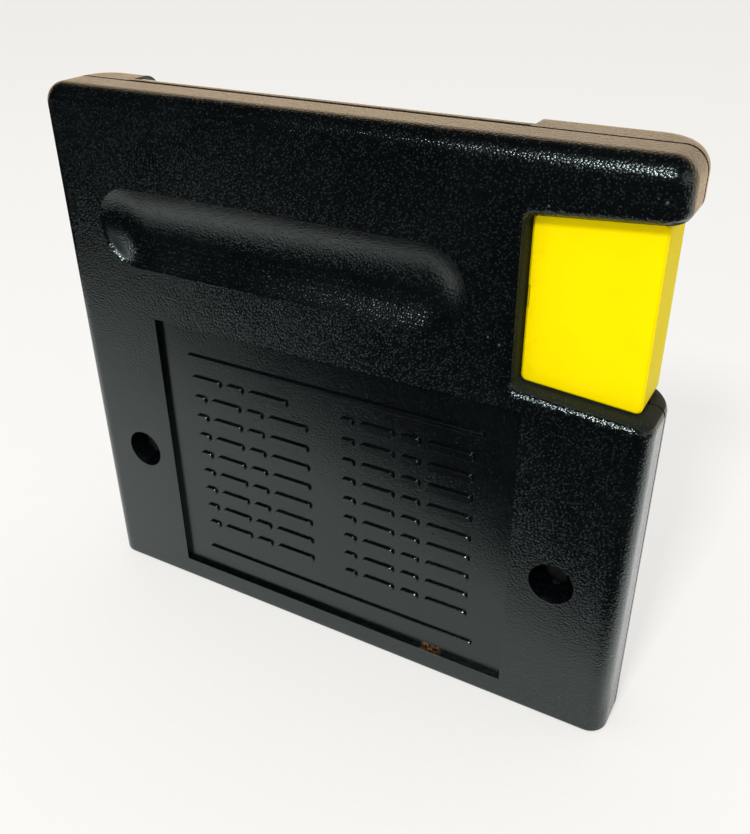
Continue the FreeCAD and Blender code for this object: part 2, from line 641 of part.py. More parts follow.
def front_case():
    """The label half: recess over its top and face, screw pillars, posts and locating lugs."""
    body = case_block("front_case", front=True)
    sides = new_sketch(body, "XY_Plane", "front_sides_outline")
    right_middle = ("side_middle_x", "side_middle_y")
    left_middle = ("-side_middle_x", "side_middle_y")
    corner_waste(sides, ("half_width", "half_depth"), right_middle, "side_radius", 0)
    corner_waste(sides, ("-half_width", "half_depth"), left_middle, "side_radius", 90)
    pocket(body, sides, "front_sides", "case_height", reverse=True)
    dress(body, "Fillet", "front_crown", "corner_radius",
          lambda edge: on_plane(edge, 2, size("case_height")) and not on_plane(edge, 1, 0.0))
    hollow_half(body, front=True)
    floor = size("cavity_depth")
    walls = size("cavity_half")
    dress(body, "Fillet", "front_cavity_sides", "side_inside",
          lambda edge: near(abs(edge.CenterOfMass.x), walls) and on_plane(edge, 1, floor))

    recess = new_sketch(body, "YZ_Plane", "recess_outline", "label_left")
    recess_profile(recess)
    pocket(body, recess, "label_recess", "label_cut_width", reverse=True)

    pillars = new_sketch(body, "XZ_Plane", "pillars_outline", "-cavity_depth")
    at_screws(pillars, "pillar_radius")
    pad(body, pillars, "screw_pillars", "pillar_height")
    pilots = new_sketch(body, "XZ_Plane", "pilots_outline", "boss_end")
    at_screws(pilots, "pilot_radius")
    pocket(body, pilots, "pilot_holes", "pilot_depth")

    posts = new_sketch(body, "XZ_Plane", "front_posts_outline", "-cavity_depth")
    at_posts(posts)
    pad(body, posts, "front_posts", "front_post")

    lugs = new_sketch(body, "XZ_Plane", "lugs_outline", "-cavity_depth")
    for start, end in (("lug_low_start", "lug_low_end"), ("lug_high_start", "lug_high_end")):
        rectangle(lugs, "lug_in", "lug_out", start, end)
        rectangle(lugs, "-lug_out", "-lug_in", start, end)
    rectangle(lugs, "lug_near", "lug_far", "lug_under", "lug_top")
    rectangle(lugs, "-lug_far", "-lug_near", "lug_under", "lug_top")
    pad(body, lugs, "locating_lugs", "lug_height")
    return body


def side_tab():
    """The tab in the notch: a cored block whose flange grips behind the notch's wall."""
    body = new_body("side_tab")
    block = new_sketch(body, "XZ_Plane", "tab_outline")
    polygon(block, [
        ("tab_in", "tab_low_in"),
        ("tab_out", "tab_low_out"),
        ("tab_out", "tab_high_out"),
        ("tab_in", "tab_high_in"),
    ])
    pad(body, block, "tab_block", "tab_depth", midplane=True)
    face = size("tab_face")
    dress(body, "Fillet", "tab_corners", "tab_corner",
          lambda edge: near(edge.Vertexes[0].X, edge.Vertexes[1].X) and near(abs(edge.CenterOfMass.y), 0))
    dress(body, "Chamfer", "tab_edges", "tab_edge",
          lambda edge: on_plane(edge, 1, face) or on_plane(edge, 1, -face))

    neck = new_sketch(body, "YZ_Plane", "tongue_outline", "tab_in")
    rectangle(neck, "-tongue_half", "tongue_half", "tongue_low", "tongue_high")
    pad(body, neck, "tab_tongue", "tongue_length", reverse=True)
    grip = new_sketch(body, "YZ_Plane", "flange_outline", "flange_start")
    rectangle(grip, "-flange_half", "flange_half", "flange_low", "flange_high")
    pad(body, grip, "tab_flange", "flange_thickness", reverse=True)
    core = new_sketch(body, "YZ_Plane", "core_outline", "tab_end")
    rectangle(core, "-core_half", "core_half", "core_low", "core_high")
    pocket(body, core, "tab_core", "core_length", reverse=True)
    nick = new_sketch(body, "XZ_Plane", "nick_outline", "tab_face")
    rectangle(nick, "tab_in", "nick_end", "nick_low", "nick_high")
    pocket(body, nick, "gate_nick", "nick_depth")
    return body


def paper_profile(sketch):
    """The label's section: a thin band over the shelf, round the bend and down the recess."""
    edges = (
        ("paper_under", "paper_bend_in", "paper_back"),
        ("paper_over", "paper_bend_out", "paper_front"),
    )
    runs = []
    for shelf, bend, face in edges:
        start = FreeCAD.Vector(size("paper_lip"), size(shelf), 0)
        turn = FreeCAD.Vector(size("label_bend_y"), size(shelf), 0)
        front = FreeCAD.Vector(size(face), size("label_bend_z"), 0)
        end = FreeCAD.Vector(size(face), size("paper_low"), 0)
        level = sketch.addGeometry(Part.LineSegment(start, turn))
        curve = arc(sketch, ("label_bend_y", "label_bend_z"), bend, 0, 90)
        drop = sketch.addGeometry(Part.LineSegment(front, end))
        sketch.addConstraint(Sketcher.Constraint("Tangent", level, 2, curve, 2))
        sketch.addConstraint(Sketcher.Constraint("Tangent", curve, 1, drop, 1))
        fix_point(sketch, curve, 3, ("label_bend_y", "label_bend_z"))
        fix_point(sketch, level, 1, ("paper_lip", shelf))
        fix_point(sketch, drop, 2, (face, "paper_low"))
        runs.append((level, drop, start, end))
    for point, ends in ((1, (0, 2)), (2, (1, 3))):
        line, place = ends
        near_run, far_run = runs
        closing = sketch.addGeometry(Part.LineSegment(near_run[place], far_run[place]))
        sketch.addConstraint(Sketcher.Constraint("Coincident", closing, 1, near_run[line], point))
        sketch.addConstraint(Sketcher.Constraint("Coincident", closing, 2, far_run[line], point))


def front_label():
    """The paper label, wrapped over the top of the front half, with rounded corners."""
    body = new_body("front_label")
    section = new_sketch(body, "YZ_Plane", "paper_outline", "paper_start")
    paper_profile(section)
    pad(body, section, "paper_sheet", "label_width")
    waste = new_sketch(body, "XY_Plane", "lip_corners_outline", "label_cut_z")
    start_middle = ("paper_turn_start", "paper_turn")
    end_middle = ("paper_turn_end", "paper_turn")
    corner_waste(waste, ("paper_start", "paper_lip"), start_middle, "label_corner", 180)
    corner_waste(waste, ("paper_end", "paper_lip"), end_middle, "label_corner", 270)
    pocket(body, waste, "lip_corners", "paper_turn_cut")
    dress(body, "Fillet", "foot_corners", "label_corner",
          lambda edge: on_plane(edge, 2, size("paper_low")) and near(edge.Length, size("label_paper")))
    return body


def circuit_board():
    """The board, clipped at its connector corners and cut round the screw tubes."""
    body = new_body("circuit_board")
    outline = new_sketch(body, "XZ_Plane", "board_outline")
    polygon(outline, [
        ("-board_tongue", "board_bottom"),
        ("board_tongue", "board_bottom"),
        ("board_half", "board_clip"),
        ("board_half", "board_top"),
        ("-board_half", "board_top"),
        ("-board_half", "board_clip"),
    ])
    pad(body, outline, "board_sheet", "board_thickness", midplane=True)
    cuts = new_sketch(body, "XZ_Plane", "board_cuts_outline", "board_face")
    at_screws(cuts, "board_cut")
    pocket(body, cuts, "board_cuts", "board_thickness")
    dress(body, "Chamfer", "connector_bevel", "board_bevel",
          lambda edge: on_plane(edge, 2, size("board_bottom")) and not near(edge.CenterOfMass.y, 0))
    return body


def group(label, shapes):
    """A node of several separate solids."""
    feature = DOC.addObject("Part::Feature", label)
    feature.Label = label
    feature.Shape = Part.Compound(shapes)
    return feature


def edge_contacts(label, front):
    """The row of plated contacts on one side of the board."""
    width = size("contact_width")
    plate = size("contact_plate")
    count = int(size("contact_count"))
    low = size("board_bottom") + size("board_bevel") + size("contact_inset")
    back = size("board_face") if front else -size("board_face") - plate
    contacts = []
    for index in range(count):
        middle = (index - (count - 1) / 2) * size("contact_pitch")
        corner = FreeCAD.Vector(middle - width / 2, back, low)
        contacts.append(Part.makeBox(width, plate, size("contact_length"), corner))
    return group(label, contacts)


def memory_package():
    """The moulded memory package, tapered both ways from its waist."""
    body = new_body("memory_package")
    section = new_sketch(body, "YZ_Plane", "package_outline")
    polygon(section, [
        ("chip_base", "chip_low_in"),
        ("chip_waist", "chip_low"),
        ("chip_crown", "chip_low_in"),
        ("chip_crown", "chip_high_in"),
        ("chip_waist", "chip_high"),
        ("chip_base", "chip_high_in"),
    ])
    pad(body, section, "package_block", "chip_length", midplane=True)
    mark = new_sketch(body, "XZ_Plane", "mark_outline", "-chip_crown")
    circle(mark, "-chip_half", "chip_z", "chip_mark")
    pocket(body, mark, "end_mark", "chip_mark_depth", reverse=True)
    return body


def lead_section(side):
    """A gull-wing lead's section on the upper or lower side of the package, as a face."""
    sheet = size("lead_sheet")
    start = size("chip_width") / 2
    leg = start + size("lead_shoulder")
    toe = leg + size("lead_foot")
    upper = size("chip_waist") + sheet / 2
    lower = size("chip_waist") - sheet / 2
    floor = size("board_face")
    corners = [(upper, start), (upper, leg), (floor + sheet, leg), (floor + sheet, toe),
               (floor, toe), (floor, leg - sheet), (lower, leg - sheet), (lower, start)]
    places = [FreeCAD.Vector(0, along, size("chip_z") + side * out) for along, out in corners]
    return Part.Face(Part.makePolygon(places + places[:1]))


def memory_leads():
    """The two rows of leads that carry the memory package on the board."""
    width = size("lead_width")
    count = int(size("lead_count"))
    leads = []
    for side in (-1, 1):
        lead = lead_section(side).extrude(FreeCAD.Vector(width, 0, 0))
        for index in range(count):
            middle = (index - (count - 1) / 2) * size("lead_pitch")
            leads.append(lead.translated(FreeCAD.Vector(middle - width / 2, 0, 0)))
    return group("memory_leads", leads)


def block_on_board(kind, across):
    """A small block with broken edges that stands on the front of the board, sized by its own cells."""
    length = size(kind + "_length")
    height = size(kind + "_height")
    width = size(kind + "_width")
    floor = size("board_face")
    corner = FreeCAD.Vector(across - length / 2, floor, size(kind + "_z") - width / 2)
    block = Part.makeBox(length, height, width, corner)
    upper = [edge for edge in block.Edges if on_plane(edge, 1, floor + height)]
    return block.makeChamfer(size(kind + "_edge"), upper)


def capacitors():
    """Two ceramic capacitors beside the contacts and the reservoir capacitor above the package."""
    ceramics = [block_on_board("ceramic", side * size("ceramic_x")) for side in (-1, 1)]
    group("ceramic_capacitors", ceramics)
    group("reservoir_capacitor", [block_on_board("reservoir", size("reservoir_x"))])


def screw_profile(sketch):
    """Half of the screw's section beside its axis: head, flange, shank and cone tip."""
    polygon(sketch, [
        ("0", "-head_top"),
        ("head_radius", "-head_top"),
        ("head_radius", "-flange_top"),
        ("flange_radius", "-flange_top"),
        ("flange_radius", "-screw_seat"),
        ("shank_radius", "-screw_seat"),
        ("shank_radius", "shank_cone"),
        ("0", "shank_tip"),
    ])


def case_screws():
    """The two screws in their wells, each with a six-lobed drive post."""
    body = new_body("screw_pattern")
    profile = new_sketch(body, "XY_Plane", "screw_outline")
    screw_profile(profile)
    turn = body.newObject("PartDesign::Revolution", "screw_turning")
    turn.Profile = profile
    turn.ReferenceAxis = (profile, ["V_Axis"])
    turn.Angle = 360
    DOC.recompute()
    flute = new_sketch(body, "XZ_Plane", "flute_outline", "head_top")
    circle(flute, "head_radius", "0", "lobe_radius")
    cut = pocket(body, flute, "flute", "head_height")
    lobes = body.newObject("PartDesign::PolarPattern", "lobes")
    lobes.Originals = [cut]
    lobes.Axis = (profile, ["V_Axis"])
    lobes.Angle = 360
    lobes.Occurrences = LOBES
    body.Tip = lobes
    DOC.recompute()
    screws = []
    for side in (-1, 1):
        place = FreeCAD.Vector(side * size("screw_half"), 0, size("screw_height"))
        screws.append(body.Shape.Solids[0].translated(place))
    return group("case_screws", screws)


def check_document(nodes):
    """Stops if any object of the document failed or any node is not a sound solid."""
    for item in DOC.Objects:
        if "Invalid" in item.State or "Error" in item.State:
            raise RuntimeError("%s failed: %s" % (item.Label, item.State))
    for node in nodes:
        if node.Shape.isNull() or not node.Shape.isValid() or not node.Shape.Solids:
            raise RuntimeError(node.Label + " is not a sound solid")


def main():
    """Builds every sub-part and writes one file for each."""
    rear_case()
    front_case()
    side_tab()
    front_label()
    circuit_board()
    edge_contacts("rear_contacts", front=False)
    edge_contacts("front_contacts", front=True)
    memory_package()
    memory_leads()
    capacitors()
    case_screws()
    DOC.recompute()
    nodes = [DOC.getObjectsByLabel(label)[0] for label in NODES]
    check_document(nodes)
    os.makedirs("parts", exist_ok=True)
    for node in nodes:
        node.Shape.exportStep("parts/%s.step" % node.Label)
        print("%-22s %2d solids %10.2f mm3" % (node.Label, len(node.Shape.Solids), node.Shape.Volume))


main()
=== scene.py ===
"""Looks of a game cartridge: grained black case, yellow tab, paper label and the board inside.

Metres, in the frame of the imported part: X runs along the width towards the tab, Y from the plain
rear face towards the label, and Z up from the slot edge that the cartridge stands on.
"""
import itertools
import math

import bmesh
import bpy
from bpy.props import FloatProperty, FloatVectorProperty, IntProperty, PointerProperty
from bpy.types import Operator, Panel, PropertyGroup
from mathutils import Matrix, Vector


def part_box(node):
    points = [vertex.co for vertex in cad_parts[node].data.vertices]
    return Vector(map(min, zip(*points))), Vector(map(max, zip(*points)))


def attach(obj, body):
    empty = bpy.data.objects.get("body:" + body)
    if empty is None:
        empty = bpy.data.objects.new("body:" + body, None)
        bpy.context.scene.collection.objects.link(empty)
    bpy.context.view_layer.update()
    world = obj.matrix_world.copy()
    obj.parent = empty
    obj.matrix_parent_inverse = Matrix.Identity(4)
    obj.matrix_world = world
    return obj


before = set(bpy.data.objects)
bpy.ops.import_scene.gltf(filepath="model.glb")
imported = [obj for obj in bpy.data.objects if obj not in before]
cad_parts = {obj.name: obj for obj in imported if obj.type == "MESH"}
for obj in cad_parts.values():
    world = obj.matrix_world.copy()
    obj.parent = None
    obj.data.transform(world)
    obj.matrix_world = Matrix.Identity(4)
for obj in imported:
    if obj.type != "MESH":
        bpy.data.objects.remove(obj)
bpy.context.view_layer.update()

bl_info = {
    "name": "Game cartridge looks",
    "version": (1, 0, 0),
    "blender": (4, 5, 0),
    "location": "View3D > Sidebar > Cartridge",
    "description": "Dresses a game cartridge and sets its stage",
    "category": "Object",
}

MM = 0.001
CASE_LOW, CASE_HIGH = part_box("rear_case")
TAB_LOW, TAB_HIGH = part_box("side_tab")
LABEL_LOW, LABEL_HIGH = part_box("front_label")
BOARD_LOW, BOARD_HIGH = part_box("circuit_board")

# Forms of the case that its finish follows
PANEL_DEPTH = 1.0 * MM
PANEL_FLOOR = CASE_LOW.y + PANEL_DEPTH
PANEL_HALF = 35.0 * MM
PANEL_BOTTOM = 4.5 * MM
PANEL_TOP = 59.3 * MM
PANEL_SLACK = 0.3 * MM
SEAM_HALF = 0.3 * MM
LIP_BACK = 0.8 * MM
LIP_TOP = (CASE_HIGH.z - 0.5 * MM, CASE_HIGH.z - 0.3 * MM)
NOTCH_WALL = 33.1 * MM
NOTCH_LOW = 61.2 * MM
NOTCH_HIGH = 90.0 * MM
NOTCH_HALF = -CASE_LOW.y - 0.8 * MM
SCOOP_END = (-46.0 * MM, 68.5 * MM)
SCOOP_END_RADIUS = 6.0 * MM
SCOOP_END_DEEP = (CASE_LOW.y + 0.5 * MM, -1.0 * MM)

# How much rougher the plastic is in some places, and how strongly the outer pieces mirror
STAIN_ROUGHER = 0.3
SCOOP_END_ROUGHER = 0.8
LIP_ROUGHER = 0.75
NOTCH_ROUGHER = 0.65
CASE_SPECULAR = 0.62
TAB_SPECULAR = 0.02
PAPER_SPECULAR = 0.35

# Marks on the rear face: their reach across and up, and for a chip its radius
STAIN_ACROSS = (19.4 * MM, 22.9 * MM)
STAIN_UP = (4.3 * MM, 5.5 * MM)
RUB_ACROSS = (49.6 * MM, 51.8 * MM)
RUB_UP = (92.9 * MM, 93.6 * MM)
CHIPS = (
    (51.2 * MM, 93.2 * MM, 0.14 * MM),
    (29.1 * MM, 70.3 * MM, 0.14 * MM),
    (30.9 * MM, 69.4 * MM, 0.16 * MM),
    (36.4 * MM, 90.6 * MM, 0.14 * MM),
)
CHIP_SHARE = 0.22
DUST_SHARE = 0.35
MARK_DEPTH = 1.5 * MM
FOOT_SCUFFS = (0.2 * MM, 2.2 * MM)

# Painted shade on the tab: from its top downwards under the notch's upper arm, and out of the
# notch along its inner edge
TAB_TOP_SHADE = 2.2 * MM
TAB_EDGE_SHADE = (TAB_LOW.x + 5.9 * MM, TAB_LOW.x + 6.6 * MM)

# Ribs on the sunk panel: a rule above and below, and rows in two columns
RULE_HALF = 29.0 * MM
RULE_HEIGHT = 0.9 * MM
UPPER_RULE = PANEL_TOP - 6.2 * MM
LOWER_RULE = PANEL_BOTTOM + 5.0 * MM
FIRST_ROW = UPPER_RULE - 4.6 * MM
RIB_COLUMNS = ((-28.5 * MM, -3.0 * MM), (3.0 * MM, 28.5 * MM))
RIB_LENGTHS = (6.4 * MM, 3.6 * MM, 8.2 * MM, 4.8 * MM, 2.6 * MM)
RIB_GAP = 1.3 * MM
RIB_SINK = 0.05 * MM
RIB_ROUNDING = 0.42

# Print on the label
FIELD_LEFT = LABEL_LOW.x + 3.5 * MM
FIELD_RIGHT = LABEL_HIGH.x - 3.5 * MM
FIELD_LOW = LABEL_LOW.z + 4.0 * MM
FIELD_HIGH = LABEL_HIGH.z - 18.0 * MM
STRIPE_PITCH = 9.0 * MM
STRIPE_EDGE = (6.3 * MM, 6.5 * MM)
DISC_INSET = 17.0 * MM
DISC_RADIUS = 11.0 * MM
BAND_LOW = FIELD_HIGH + 3.0 * MM
BAND_HIGH = FIELD_HIGH + 9.0 * MM
TOP_BAR_ACROSS = (-15.0 * MM, 3.0 * MM)
TOP_BAR_DEEP = (2.5 * MM, 3.1 * MM)

# Traces on the board
PAD_PITCH = 2.54 * MM
FAN_OUT_LOW = BOARD_LOW.z + 9.0 * MM
FAN_OUT_HIGH = BOARD_LOW.z + 21.0 * MM
FAN_OUT_EDGE = (0.9 * MM, 1.0 * MM)
BUS_HIGH = BOARD_HIGH.z - 3.0 * MM
BUS_EDGE = (0.4 * MM, 0.46 * MM)
BARE_EDGE = (BOARD_LOW.z + 0.3 * MM, BOARD_LOW.z + 0.6 * MM)

# Capacitors: how far from the board's middle they sit, and where their end caps and band start
CERAMIC_PLACE = 20.0 * MM
CERAMIC_CAP = 1.1 * MM
RESERVOIR_PLACE = 22.0 * MM
RESERVOIR_CAP = 2.7 * MM
RESERVOIR_BAND = (-2.1 * MM, -1.3 * MM)

# Tones that are the same whatever the sidebar says
BLACK = (0.0, 0.0, 0.0)
DRAPE_BLACK = (0.012, 0.012, 0.012)
CHIP_GREY = (0.3, 0.3, 0.3)
DUST_GREY = (0.45, 0.45, 0.43)
BARE_BOARD = (0.35, 0.3, 0.16)
LAMP_WHITE = (1.0, 0.99, 0.97)

# Sheets of the stage: name, width, length, place and turn in degrees
LEVEL = (0.0, 0.0, 0.0)
UPRIGHT = (90.0, 0.0, 0.0)
FLOOR = ("floor", 6.0, 6.0, (0.0, 0.0, 0.0), LEVEL)
BACK_WALL = ("back_wall", 4.0, 1.4, (0.0, 0.25, 0.7), UPRIGHT)
SIDE_CARD = ("side_card", 0.12, 0.24, (0.118, 0.11, 1.0 * MM), LEVEL)
# Dark drapes that show only in reflections: the floor drape is painted shade on the floor in front
# of the cartridge, the others a dark room
DRAPES = (
    ("floor_drape", 3.0, 1.2, (0.2207, -0.6053, 2.0 * MM), (0.0, 0.0, 21.5)),
    ("front_drape", 4.0, 2.0, (0.0, -1.3, 1.0), UPRIGHT),
    ("ceiling_drape", 4.0, 2.2, (0.0, -0.2, 1.4), LEVEL),
    ("left_drape", 1.0, 0.8, (-0.69, 0.05, 2.0 * MM), LEVEL),
    ("side_drape", 1.6, 1.4, (-1.6, -0.52, 0.7), (90.0, 0.0, 90.0)),
)

# Light: how strongly two sheets glow at two places along their length, and the key lamp
WALL_GLOW = (1.8, 0.0)
WALL_REACH = (-0.54, -0.24)
CARD_GLOW = (1.6, 0.9)
CARD_REACH = (0.0, 0.12)
LAMP_PLACE = (0.04, -0.65, 0.61)
LAMP_TARGET = (0.0, 0.0, 0.05)
LAMP_SIDE = 0.12

# Sockets of the node that mixes two colours, where one name stands for several
MIX_FACTOR, MIX_FIRST, MIX_SECOND, MIX_RESULT = 0, 6, 7, 2


def opaque(colour, share=1.0):
    """A share of a colour, with full opacity."""
    return (colour[0] * share, colour[1] * share, colour[2] * share, 1.0)


class Finish:
    """A material in the making: its shader and the nodes that feed it."""

    def __init__(self, name):
        self.material = bpy.data.materials.new(name)
        self.material.use_nodes = True
        self.tree = self.material.node_tree
        self.shader = self.tree.nodes["Principled BSDF"]
        self.place = self.add("ShaderNodeTexCoord").outputs["Object"]
        parts = self.add("ShaderNodeSeparateXYZ", {"Vector": self.place})
        self.axes = {"x": parts.outputs["X"], "y": parts.outputs["Y"], "z": parts.outputs["Z"]}

    def feed(self, socket, value):
        """Links a socket to another one, or sets it to a plain value."""
        if isinstance(value, bpy.types.NodeSocket):
            self.tree.links.new(value, socket)
        else:
            socket.default_value = value

    def add(self, kind, inputs=None, **settings):
        """A node with its settings and inputs filled in."""
        node = self.tree.nodes.new(kind)
        for name, value in settings.items():
            setattr(node, name, value)
        for name, value in (inputs or {}).items():
            self.feed(node.inputs[name], value)
        return node

    def work_out(self, operation, first, second=0.0):
        """The result of one arithmetic step."""
        node = self.add("ShaderNodeMath", {0: first, 1: second}, operation=operation)
        return node.outputs["Value"]

    def chain(self, operation, values):
        """The result of one kind of step, taken through several values in turn."""
        result = values[0]
        for value in values[1:]:
            result = self.work_out(operation, result, value)
        return result

    def product(self, *factors):
        """The product of several masks."""
        return self.chain("MULTIPLY", factors)

    def total(self, *terms):
        """The sum of several values."""
        return self.chain("ADD", terms)

    def largest(self, *masks):
        """The largest of several masks."""
        return self.chain("MAXIMUM", masks)

    def rest(self, mask):
        """What a mask leaves over."""
        return self.work_out("SUBTRACT", 1.0, mask)

    def noise(self, grain, detail=2.0, vector=None):
        """Cloudy noise whose patches are about one grain wide, from 0 to 1."""
        node = self.add("ShaderNodeTexNoise", {
            "Vector": vector or self.place, "Scale": 1.0 / grain, "Detail": detail})
        return node.outputs["Fac"]

    def cells(self, grain):
        """Distance to the nearest of points about one grain apart, and a chance value for it."""
        node = self.add("ShaderNodeTexVoronoi", {"Vector": self.place, "Scale": 1.0 / grain},
                        feature="F1")
        return node.outputs["Distance"], node.outputs["Color"]

    def stretched(self, across, along, up):
        """The place on the object, drawn out along the axes."""
        node = self.add("ShaderNodeMapping", {
            "Vector": self.place, "Scale": (across, along, up)})
        return node.outputs["Vector"]

    def fade(self, value, low, high, start=0.0, end=1.0):
        """A value brought smoothly from one range to another, and held at its ends."""
        node = self.add("ShaderNodeMapRange", {
            "Value": value, "From Min": low, "From Max": high, "To Min": start, "To Max": end},
            interpolation_type="SMOOTHSTEP")
        return node.outputs["Result"]

    def between(self, axis, low, high, blur=0.05 * MM):
        """A mask that is 1 between two places along an axis."""
        rise = self.fade(self.axes[axis], low - blur, low + blur)
        fall = self.fade(self.axes[axis], high - blur, high + blur, 1.0, 0.0)
        return self.product(rise, fall)

    def disc(self, first, second, middle, radius, blur=0.08 * MM):
        """A mask that is 1 inside a circle seen along the third axis."""
        across = self.work_out("SUBTRACT", self.axes[first], middle[0])
        up = self.work_out("SUBTRACT", self.axes[second], middle[1])
        square = self.total(self.product(across, across), self.product(up, up))
        reach = self.work_out("SQRT", square)
        return self.fade(reach, radius - blur, radius + blur, 1.0, 0.0)

    def blend(self, factor, first, second):
        """Two colours mixed by a mask."""
        node = self.add("ShaderNodeMix", data_type="RGBA")
        self.feed(node.inputs[MIX_FACTOR], factor)
        self.feed(node.inputs[MIX_FIRST], first)
        self.feed(node.inputs[MIX_SECOND], second)
        return node.outputs[MIX_RESULT]

    def mottled(self, pattern, low, high, colour, share):
        """A colour that goes to a share of itself where a pattern rises from low to high."""
        return self.blend(self.fade(pattern, low, high), opaque(colour), opaque(colour, share))

    def bump(self, height, depth):
        """A surface normal that stands for a height of so many metres."""
        inputs = {"Height": height, "Distance": depth, "Strength": 1.0}
        return self.add("ShaderNodeBump", inputs).outputs["Normal"]

    def dress(self, *names):
        """Gives the material to CAD nodes by name."""
        for name in names:
            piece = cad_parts[name]
            for slot in piece.material_slots:
                slot.material = self.material

    def surface(self, **values):
        """Sets the shader's inputs. A name's underscores stand for spaces."""
        for name, value in values.items():
            self.feed(self.shader.inputs[name.replace("_", " ")], value)


def colour_property(name, description, default):
    """A colour that the sidebar can change."""
    return FloatVectorProperty(name=name, description=description, subtype="COLOR", size=3,
                               min=0.0, max=1.0, default=default)


def length_property(name, description, default):
    """A length that the sidebar can change."""
    return FloatProperty(name=name, description=description, subtype="DISTANCE", unit="LENGTH",
                         min=0.0, precision=5, default=default)


def place_property(name, description, default):
    """A place in the frame that the sidebar can change."""
    return FloatVectorProperty(name=name, description=description, subtype="XYZ", size=3,
                               unit="LENGTH", default=default)


def share_property(name, description, default):
    """A share from 0 to 1 that the sidebar can change."""
    return FloatProperty(name=name, description=description, subtype="FACTOR",
                         min=0.0, max=1.0, default=default)


class CaseLook(PropertyGroup):
    """The moulded black case."""
    colour: colour_property("Plastic", "Colour of the case plastic", (0.001, 0.0015, 0.002))
    # The crest colour is a painted glint: a pale, bluish speck on some pebble crests that stands
    # in for the grain's sparkle
    crest_glint: colour_property("Pebble crests", "Colour of the plastic on the rubbed crests",
                           (0.015, 0.02, 0.0225))
    worn: colour_property("Worn plastic", "Colour of scuffed plastic along the edges",
                          (0.05, 0.052, 0.05))
    stain: colour_property("Stain", "Brown stain at the foot of the panel", (0.16, 0.06, 0.018))
    sheen: colour_property("Sheen", "Tint of the light that the plastic mirrors",
                           (0.8, 1.0, 0.97))
    grain: length_property("Grain", "Width of the spark-eroded pebbles", 0.37 * MM)
    grain_depth: length_property("Grain depth", "Depth of the grain", 0.04 * MM)
    gloss: share_property("Roughness", "Roughness of the plastic on its pebbles", 0.22)


class ReliefSizes(PropertyGroup):
    """The raised ribs on the sunk panel."""
    rise: length_property("Rise", "How far a rib stands above the panel", 0.45 * MM)
    bevel: length_property("Bevel", "Broken edge of a rib", 0.12 * MM)
    rib: length_property("Rib", "Height of a short rib", 1.5 * MM)
    pitch: length_property("Pitch", "Distance between the rows of ribs", 4.1 * MM)
    rows: IntProperty(name="Rows", description="Rows of short ribs", min=1, max=12, default=9)


class TabLook(PropertyGroup):
    """The yellow tab."""
    colour: colour_property("Plastic", "Colour of the tab", (0.82, 0.66, 0.0))
    # The deeper tone paints the shade under the notch's arm and along the inner edge by the notch
    # wall, and the darker clouds
    shade: colour_property("Deeper tone", "Tone where the plastic is thick or grimy",
                           (0.74, 0.5, 0.0))
    roughness: share_property("Roughness", "Roughness of the tab", 0.5)


class LabelLook(PropertyGroup):
    """The paper label."""
    paper: colour_property("Paper", "Colour of the bare paper", (0.9, 0.89, 0.86))
    field: colour_property("Field", "Main field of colour", (0.02, 0.12, 0.19))
    glow: colour_property("Upper field", "Colour that the field fades to", (0.06, 0.33, 0.36))
    accent: colour_property("Accent", "Disc and stripes", (0.8, 0.28, 0.05))
    ink: colour_property("Ink", "Dark bar along the top", (0.05, 0.05, 0.06))


class BoardLook(PropertyGroup):
    """The board, what stands on it and the screws."""
    mask: colour_property("Solder mask", "Colour of the board", (0.012, 0.085, 0.035))
    trace: colour_property("Traces", "Colour of the mask over copper", (0.03, 0.16, 0.06))
    plating: colour_property("Plating", "Colour of the contacts", (0.83, 0.6, 0.24))
    tin: colour_property("Tin", "Colour of leads and end caps", (0.62, 0.61, 0.58))
    package: colour_property("Package", "Colour of the memory package", (0.018, 0.018, 0.02))
    ceramic: colour_property("Ceramic", "Colour of the ceramic capacitors", (0.4, 0.27, 0.15))
    resin: colour_property("Resin", "Colour of the reservoir capacitor", (0.62, 0.33, 0.04))
    steel: colour_property("Steel", "Colour of the case screws", (0.03, 0.03, 0.032))


class StageLook(PropertyGroup):
    """Camera, floor and light."""
    camera_place: place_property("Camera", "Place of the camera",
                                 (0.073453, -0.119171, 0.127367))
    camera_target: place_property("Target", "Point that the camera looks at",
                                  (0.005847, 0.0, 0.046287))
    camera_roll: FloatProperty(name="Roll", description="Turn of the camera about its view",
                               subtype="ANGLE", default=math.radians(-0.595))
    camera_lens: FloatProperty(name="Lens", description="Focal length in millimetres",
                               unit="CAMERA", min=1.0, default=39.442)
    floor: colour_property("Floor", "Colour of the floor", (0.92, 0.915, 0.9))
    floor_glow: share_property("Floor glow", "Share of the floor that is lit evenly", 0.6)
    background: colour_property("Background", "Colour behind the object", (0.93, 0.9, 0.84))
    room: colour_property("Room", "Colour of the light from all round", (1.0, 0.985, 0.96))
    room_strength: FloatProperty(name="Room light", min=0.0, default=0.79,
                                 description="Strength of the light from all round")
    key_power: FloatProperty(name="Key lamp", description="Power of the key lamp", unit="POWER",
                             min=0.0, default=4.4)
    wall: colour_property("Back wall", "Colour of the wall that the top mirrors",
                          (0.85, 0.64, 0.44))


class CartridgeLook(PropertyGroup):
    """All that a user would change."""
    case: PointerProperty(type=CaseLook)
    relief: PointerProperty(type=ReliefSizes)
    tab: PointerProperty(type=TabLook)
    label: PointerProperty(type=LabelLook)
    board: PointerProperty(type=BoardLook)
    stage: PointerProperty(type=StageLook)


def case_grain(finish, grain):
    """Height of the spark-eroded pebbles, and a mask of the crests that carry painted glints."""
    reach, chance = finish.cells(grain)
    pebbles = finish.rest(finish.product(reach, reach))
    crests = finish.product(finish.fade(reach, 0.06, 0.5, 1.0, 0.0),
                            finish.fade(chance, 0.25, 0.7, 0.2, 1.0))
    height = finish.total(pebbles, finish.product(crests, 0.5))
    return height, finish.product(crests, finish.fade(chance, 0.3, 0.7))


